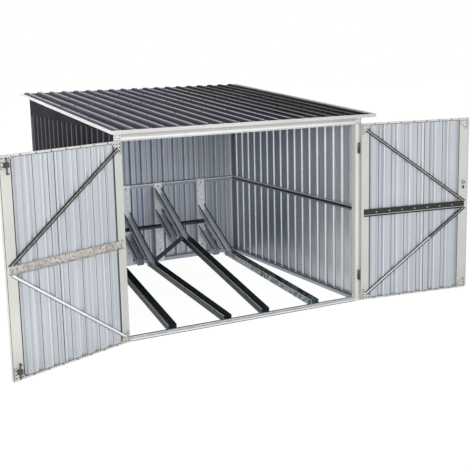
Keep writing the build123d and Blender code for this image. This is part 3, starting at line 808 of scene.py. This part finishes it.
def pinCaps(values):  # domed heads on the hinge pins
    deselectAll()
    bpy.ops.mesh.primitive_cylinder_add(vertices=values["sides"], radius=values["radius"],
                                        depth=values["height"], location=(0, 0, values["middle"]))
    cap = bpy.context.object
    pickFaces(cap, lambda face: face.normal.z > 0.9)
    for inset, rise in values["dome"]:
        bpy.ops.mesh.inset(thickness=inset, depth=rise)
    bpy.ops.object.mode_set(mode="OBJECT")
    bpy.ops.object.transform_apply()
    places = [(Vector((side * hinges["x"], hinges["y"], z + hinges["half"])), (0, 0, 1))
              for side in (-1, 1) for z in hinges["levels"]]
    caps = copiesAt(cap, places)
    dropTemplate(cap)
    smoothEdges(settle(caps, "hinge_pin_caps", "lockSteel", "shelter"))


headerLip(headerFixings)
sillRidges(sillLines)
postScrews(postFixings)
pinCaps(pinCap)
print("front fixings made")


# Rack: painted highlight and shade strips on the rims of the channels and guides, pale hems on the uprights, bolts

rack = {
    "startY": -0.955, "channelHeight": 0.045, "halfWidth": 0.030, "gauge": 0.002,
    "guideRise": 0.60, "guideStep": 0.190, "highPeak": (0.400, 0.340), "wallY": 0.940,
}
rackHem = {
    "firstY": 0.002, "guideGap": 0.001, "lowerStart": (0.620, 0.660),
    "width": 0.0090, "height": 0.0030, "channelWidth": 0.0050,
}
uprightHem = {"half": 0.040, "low": 0.002, "high": 0.710, "width": 0.0060, "proud": 0.0012}
rackBolting = {
    "fromFront": 0.030, "fromPeak": 0.045, "guideSteps": (-0.022, 0.040), "guideDrop": 0.024,
    "uprightsZ": (0.110, 0.420, 0.680),
}


def guideRim(y, level):
    peakY, peakZ = rack["highPeak"]
    return peakZ + (y - peakY) * rack["guideRise"] - level * rack["guideStep"]


def channelFront(peakY, peakZ):  # height of the channel's rim at its front end
    slope = (peakZ - rack["channelHeight"]) / (peakY - rack["startY"])
    return rack["channelHeight"] * math.hypot(1, slope)


def rackRimLightAndShade(values):
    pale, dark = [], []
    wallY, up = rack["wallY"], (0, 0, 1)
    for middle, peakY, level in bays:
        peakZ = guideRim(peakY, level)
        frontZ = channelFront(peakY, peakZ)
        lowerY = values["lowerStart"][level]
        for side in (-1, 1):
            rim = middle + side * (rack["halfWidth"] - rack["gauge"] / 2)
            group = pale if side < 0 else dark
            group.append(addStrip((rim, rack["startY"] + values["firstY"], frontZ), (rim, peakY, peakZ),
                                  values["channelWidth"], values["height"], up))
            dark.append(addStrip((rim, peakY + values["guideGap"], peakZ), (rim, wallY, guideRim(wallY, level)),
                                 values["width"], values["height"], up))
            dark.append(addStrip((rim, lowerY, guideRim(lowerY, level + 1)),
                                 (rim, wallY, guideRim(wallY, level + 1)), values["width"], values["height"], up))
    # pale strips on the left rims are painted highlight, dark strips on the other rims painted shade
    settle(joined(pale), "channel_left_highlights", "paleZinc", "shelter")
    settle(joined(dark), "rack_rim_shade", "slateAndShadeZinc", "shelter")


def uprightHems(values):
    hems = []
    for middle, _, _ in bays:
        for side in (-1, 1):
            x, y = middle + side * (values["half"] - values["width"] / 2), rack["wallY"]
            hems.append(addStrip((x, y, values["low"]), (x, y, values["high"]),
                                 values["width"], values["proud"], (0, -1, 0)))
    settle(joined(hems), "upright_hems", "paleZinc", "shelter")


def rackBolts(values):
    places = []
    startY = rack["startY"]
    for middle, peakY, level in bays:
        peakZ = guideRim(peakY, level)
        frontZ = channelFront(peakY, peakZ)
        slope = (peakZ - frontZ) / (peakY - startY)
        depth = (rack["channelHeight"] - rack["gauge"]) * math.hypot(1, slope)
        for y in (startY + values["fromFront"], peakY - values["fromPeak"]):  # through the floor
            places.append((Vector((middle, y, frontZ + slope * (y - startY) - depth)), (0, -slope, 1)))
        for side in (-1, 1):  # through the flanges where the guide meets the channel
            for step in values["guideSteps"]:
                y = peakY + step
                rim = peakZ + slope * step if step < 0 else guideRim(y, level)
                places.append((Vector((middle + side * rack["halfWidth"], y, rim - values["guideDrop"])),
                               (side, 0, 0)))
        for z in values["uprightsZ"]:  # uprights to the rear rails
            places.append((Vector((middle, rack["wallY"], z)), (0, -1, 0)))
    settle(copiesAt(screws["frameBolt"], places), "rack_bolts", "screwZinc", "shelter")


rackRimLightAndShade(rackHem)
uprightHems(uprightHem)
rackBolts(rackBolting)
print("rack hems and bolts made")


# Door leaves: painted shade in the panel gaps, sheet seam with painted shade along it, fixings, rail and brace edges
# with painted highlight and shade, painted highlight and shade beside the ribs, latch

doors = {  # panel, frame and plate are depths of faces in from the leaf's outer face
    "width": 0.891, "low": 0.015, "high": 1.312, "panel": 0.0165, "frame": 0.018, "plate": 0.0195,
    "hingeStile": 0.062, "freeStile": 0.819, "railWidth": 0.012, "sheetInset": 0.0155,
}


def leafStrip(side, start, end, width, near, depth, bevel=0.0003):  # start and end are (s, z) on the leaf
    out = (*leaves[side]["inward"], 0)
    return addStrip(leafPlace(side, *start, near), leafPlace(side, *end, near), width, depth, out, bevel)


def panelLine(side, s, width, depth):  # an upright line on the panel, from end to end
    low, high = doors["low"] + doors["sheetInset"], doors["high"] - doors["sheetInset"]
    return leafStrip(side, (s, low), (s, high), width, doors["panel"], depth)


def leafPoint(side, s, z, n, inside=True):
    out = Vector((*leaves[side]["inward"], 0))
    return leafPlace(side, s, z, n), out if inside else -out


def settleLeaf(side, pieces, name, finish):
    settle(joined(pieces), f"{side}_door_{name}", finish, side + "_door")


# dark strips of painted shade in the gaps between the panel and the stiles and rails
panelGapShade = {"hinge": {"left": 0.0040, "right": 0.0050}, "free": {"left": 0.0065, "right": 0.0040},
         "end": 0.0030, "proud": 0.0004}


def leafPanelGapShade(side, values):
    hinge, free, end = values["hinge"][side], values["free"][side], values["end"]
    near, depth = doors["panel"], doors["frame"] + values["proud"] - doors["panel"]
    low, high = doors["low"] + doors["railWidth"], doors["high"] - doors["railWidth"]
    left, right = doors["hingeStile"] + hinge, doors["freeStile"] - free
    parts = [leafStrip(side, (s, low), (s, high), width, near, depth)
             for s, width in ((left - hinge / 2, hinge), (right + free / 2, free))]
    parts += [leafStrip(side, (left, z), (right, z), end, near, depth) for z in (low + end / 2, high - end / 2)]
    settleLeaf(side, parts, "panelGapShade", "sealAndShadeRubber")


seam = {"s": 0.5200, "width": 0.0042, "depth": 0.0011, "hemS": 0.5115, "hemWidth": 0.0100, "hemDepth": 0.0009}


def leafSeam(side, values):  # where two sheets of the panel lap: a dark strip of painted shade along the lap, and the lapped edge
    dark = panelLine(side, values["s"], values["width"], values["depth"])
    settleLeaf(side, [dark], "seam", "sealAndShadeRubber")
    hem = panelLine(side, values["hemS"], values["hemWidth"], values["hemDepth"])
    settleLeaf(side, [hem], "seam_hem", "innerCoat")


cornerPlate = {
    "inset": 0.008, "size": 0.070, "tip": 0.012, "edgeWidth": 0.0022, "edgeProud": 0.0005, "edgeBevel": 0.00015,
    "screws": ((0.010, 0.010), (0.010, 0.032), (0.010, 0.055), (0.032, 0.010), (0.055, 0.010)),
}
leafFixings = {
    "endScrewsS": steps(0.109, 0.1065, 7), "endInset": 0.006,
    "railScrewsS": steps(0.1230, 0.1067, 7), "railZ": 0.6650,
    "strapScrewsS": (0.014, 0.034), "strapScrewsUp": (0.010, 0.028), "strapFace": -0.0025,
}


def leafCorners():  # each corner of a leaf, with the way in along s and along z
    inset = cornerPlate["inset"]
    return [(s, along, z, up) for s, along in ((inset, 1), (doors["width"] - inset, -1))
            for z, up in ((doors["low"] + inset, 1), (doors["high"] - inset, -1))]


def leafScrews(side, values):
    places = [leafPoint(side, s, z, doors["frame"]) for s in values["endScrewsS"]
              for z in (doors["low"] + values["endInset"], doors["high"] - values["endInset"])]
    places += [leafPoint(side, s + along * ds, z + up * dz, doors["plate"])
               for s, along, z, up in leafCorners() for ds, dz in cornerPlate["screws"]]
    settleLeaf(side, [copiesAt(screws["plateScrew"], places)], "screws", "darkScrew")
    places = [leafPoint(side, s, values["railZ"], doors["plate"]) for s in values["railScrewsS"]]
    settleLeaf(side, [copiesAt(screws["plateScrew"], places)], "rail_screws", "paleZinc")
    places = [leafPoint(side, s, z + up, values["strapFace"], inside=False)
              for z in hinges["levels"] for s in values["strapScrewsS"] for up in values["strapScrewsUp"]]
    straps = copiesAt(screws["flatScrew"], places)
    settle(straps, side + "_hinge_strap_screws", "screwZinc", side + "_door")


# on the right leaf the pale strip along the dark rail is a painted highlight; on the left it matches its rail
railHem = {"inset": 0.021, "z": 0.6465, "width": 0.0040, "proud": 0.0012,
           "finish": {"left": "warmZinc", "right": "paleZinc"}}


def railHems(side, values):
    start, end, z = values["inset"], doors["width"] - values["inset"], values["z"]
    hem = leafStrip(side, (start, z), (end, z), values["width"], doors["plate"], values["proud"])
    settleLeaf(side, [hem], "rail_hem", values["finish"][side])


def plateEdgeShade(side, values):  # dark lines of painted shade round the corner plates
    size, tip = values["size"], values["tip"]
    corners = [(size, 0), (size, tip), (tip, size), (0, size), (0, 0)]
    strips = []
    for s, along, z, up in leafCorners():
        for first, second in zip(corners, corners[1:]):
            strips.append(leafStrip(side, (s + along * first[0], z + up * first[1]),
                                    (s + along * second[0], z + up * second[1]),
                                    values["edgeWidth"], doors["plate"], values["edgeProud"], values["edgeBevel"]))
    settleLeaf(side, strips, "plate_edge_shade", "darkScrew")


panelRibs = {
    "ribs": steps(0.1620, 0.1065, 6),
    "beadStep": 0.0235, "beadWidth": {"left": 0.0030, "right": 0.0052}, "beadProud": 0.0010,
    "shadeStep": -0.0220, "shadeWidth": {"left": 0.0044, "right": 0.0040}, "shadeProud": 0.0008,
}


def leafRibHighlightAndShade(side, values):  # a pale strip of painted highlight on one side of each panel rib, a dark strip of painted shade on the other
    for kind, name, finish in (("bead", "rib_highlights", "ribGleam"), ("shade", "rib_shade", "ribShade")):
        strips = [panelLine(side, s + values[kind + "Step"], values[kind + "Width"][side], values[kind + "Proud"])
                  for s in values["ribs"]]
        settleLeaf(side, strips, name, finish)


braces = {
    "start": 0.034, "end": 0.861, "corner": 0.045, "width": 0.022, "face": 0.0295,
    "railLow": 0.637, "railHigh": 0.690, "stop": 0.005, "inset": 0.0004, "first": 0.002, "proud": 0.0010,
}
braceShadeStrips = {  # width of the dark edge of painted shade, finish, and the share of the brace that it leaves out
    "left_upper": (0.0050, "slateAndShadeZinc", 0.0), "right_upper": (0.0076, "darkReflectionAndShadeZinc", 0.0),
    "left_lower": (0.0032, "slateAndShadeZinc", 0.0), "right_lower": (0.0030, "darkReflectionAndShadeZinc", 0.0),
    "right_lower_end": (0.0072, "darkReflectionAndShadeZinc", 0.66),
}


def braceEdgeShade(key, values):
    side = key.split("_")[0]
    width, finish, skip = braceShadeStrips[key]
    upper = "upper" in key
    cornerZ = doors["high"] - values["corner"] if upper else doors["low"] + values["corner"]
    railZ = values["railHigh"] if upper else values["railLow"]
    start, end = Vector((values["start"], cornerZ)), Vector((values["end"], railZ))
    along = (end - start).normalized()
    across = Vector((-along.y, along.x)) * (values["width"] - width - values["inset"]) / 2
    stop = railZ + (values["stop"] if upper else -values["stop"])
    strips = []
    for way in (-1, 1):
        first = start + across * way + along * values["first"]
        last = first + along * (stop - first.y) / along.y
        first = first + (last - first) * skip
        strips.append(leafStrip(side, tuple(first), tuple(last), width, values["face"], values["proud"]))
    settleLeaf(side, strips, key.replace(side, "brace") + "_edges", finish)


freeEdge = {"inset": 0.0020, "width": 0.0034, "proud": 0.0007}


def leafEdgeShade(values):  # a dark strip of painted shade along the free edge of the left leaf
    s, inset = doors["width"] - values["inset"], values["inset"]
    edge = leafStrip("left", (s, doors["low"] + inset), (s, doors["high"] - inset),
                     values["width"], doors["frame"], values["proud"])
    settleLeaf("left", [edge], "edge_shade", "sealAndShadeRubber")


latch = {"s": 0.855, "low": 0.783, "high": 0.807, "face": 0.026, "width": 0.014, "depth": 0.003,
         "wingHalf": 0.0090, "wingWidth": 0.0070, "wingDepth": 0.0045, "bevel": 0.0010}


def latchLever(values):
    s, half, middle = values["s"], values["wingHalf"], (values["low"] + values["high"]) / 2
    body = leafStrip("right", (s, values["low"]), (s, values["high"]),
                     values["width"], values["face"], values["depth"], values["bevel"])
    wing = leafStrip("right", (s - half, middle), (s + half, middle),
                     values["wingWidth"], values["face"], values["wingDepth"], values["bevel"])
    settleLeaf("right", [body, wing], "latch_lever", "hingeSteel")


for side in leaves:
    leafPanelGapShade(side, panelGapShade)
    leafSeam(side, seam)
    leafScrews(side, leafFixings)
    railHems(side, railHem)
    plateEdgeShade(side, cornerPlate)
    leafRibHighlightAndShade(side, panelRibs)
for key in braceShadeStrips:
    braceEdgeShade(key, braces)
leafEdgeShade(freeEdge)
latchLever(latch)
print("door fixings made")

for template in screws.values():
    dropTemplate(template)


# Floor, backdrop and lights

stage = {
    "floorSize": 60.0,
    "floorDrop": -0.0005,
    "floorColour": "#e6e6e4",
    "floorGlow": 0.96,
    "veil": 0.10,
    "ambient": 0.45,
    "ambientColour": (0.97, 0.985, 1.0),
}
lamps = {  # name: place, aimed at, width, height, watts, tint
    "frontWash": ((-1.0, -11.0, 2.6), (0.0, 0.0, 0.7), 5.0, 3.0, 340, (1.0, 1.0, 1.0)),
    "leftStrip": ((-5.2, 0.6, 3.6), (-0.2, 0.0, 1.4), 1.0, 3.0, 130, (0.97, 0.97, 1.0)),
    "sideSoftbox": ((-4.2, -6.8, 2.2), (0.6, -0.4, 0.7), 3.0, 2.0, 190, (1.0, 1.0, 1.0)),
    "rearSheen": ((-6.5, 7.5, 2.4), (-0.8, 0.0, 1.4), 4.0, 2.2, 200, (0.95, 0.95, 1.0)),
}


def whiteWhenSeen(tree, glow, shaded):  # white to the eye, and plain to the light it bounces
    path = tree.nodes.new("ShaderNodeLightPath")
    seen = path.outputs["Is Camera Ray"]
    for ray in ("Is Glossy Ray", "Is Transmission Ray"):
        either = tree.nodes.new("ShaderNodeMath")
        either.operation = "MAXIMUM"
        tree.links.new(seen, either.inputs[0])
        tree.links.new(path.outputs[ray], either.inputs[1])
        seen = either.outputs["Value"]
    mix = tree.nodes.new("ShaderNodeMixShader")
    tree.links.new(seen, mix.inputs["Fac"])
    tree.links.new(shaded, mix.inputs[1])
    tree.links.new(glow, mix.inputs[2])
    return mix.outputs["Shader"]


def makeFloor(values):
    deselectAll()
    bpy.ops.mesh.primitive_plane_add(size=values["floorSize"], location=(0, 0, values["floorDrop"]))
    floor = bpy.context.object
    floor.name = "studioFloor"
    material = bpy.data.materials.new("studioFloor")
    material.use_nodes = True
    tree = material.node_tree
    tree.nodes.clear()
    output = tree.nodes.new("ShaderNodeOutputMaterial")
    matt = tree.nodes.new("ShaderNodeBsdfDiffuse")
    matt.inputs["Color"].default_value = (*srgb(values["floorColour"]), 1.0)
    veil = tree.nodes.new("ShaderNodeBsdfDiffuse")  # keeps the shadow on the white
    veil.inputs["Color"].default_value = (*(values["veil"],) * 3, 1.0)
    glow = tree.nodes.new("ShaderNodeEmission")
    glow.inputs["Strength"].default_value = values["floorGlow"]
    both = tree.nodes.new("ShaderNodeAddShader")
    tree.links.new(veil.outputs["BSDF"], both.inputs[0])
    tree.links.new(glow.outputs["Emission"], both.inputs[1])
    surface = whiteWhenSeen(tree, both.outputs["Shader"], matt.outputs["BSDF"])
    tree.links.new(surface, output.inputs["Surface"])
    floor.data.materials.append(material)


def makeWorld(values):
    world = bpy.data.worlds.new("studio")
    bpy.context.scene.world = world
    world.use_nodes = True
    tree = world.node_tree
    tree.nodes.clear()
    output = tree.nodes.new("ShaderNodeOutputWorld")
    room = tree.nodes.new("ShaderNodeBackground")
    room.inputs["Color"].default_value = (*values["ambientColour"], 1.0)
    room.inputs["Strength"].default_value = values["ambient"]
    white = tree.nodes.new("ShaderNodeBackground")
    white.inputs["Color"].default_value = (1, 1, 1, 1)
    white.inputs["Strength"].default_value = 1.0
    surface = whiteWhenSeen(tree, white.outputs["Background"], room.outputs["Background"])
    tree.links.new(surface, output.inputs["Surface"])


def makeLamps(values):
    for name, (place, target, width, height, watts, tint) in values.items():
        lampData = bpy.data.lights.new(name, "AREA")
        lampData.shape = "RECTANGLE"
        lampData.size = width
        lampData.size_y = height
        lampData.energy = watts
        lampData.color = tint
        lamp = bpy.data.objects.new(name, lampData)
        bpy.context.scene.collection.objects.link(lamp)
        aim = Vector(target) - Vector(place)
        lamp.matrix_world = Matrix.Translation(place) @ aim.to_track_quat("-Z", "Y").to_matrix().to_4x4()


makeFloor(stage)
makeWorld(stage)
makeLamps(lamps)
bpy.context.scene.view_settings.view_transform = "Standard"
print("stage lit")
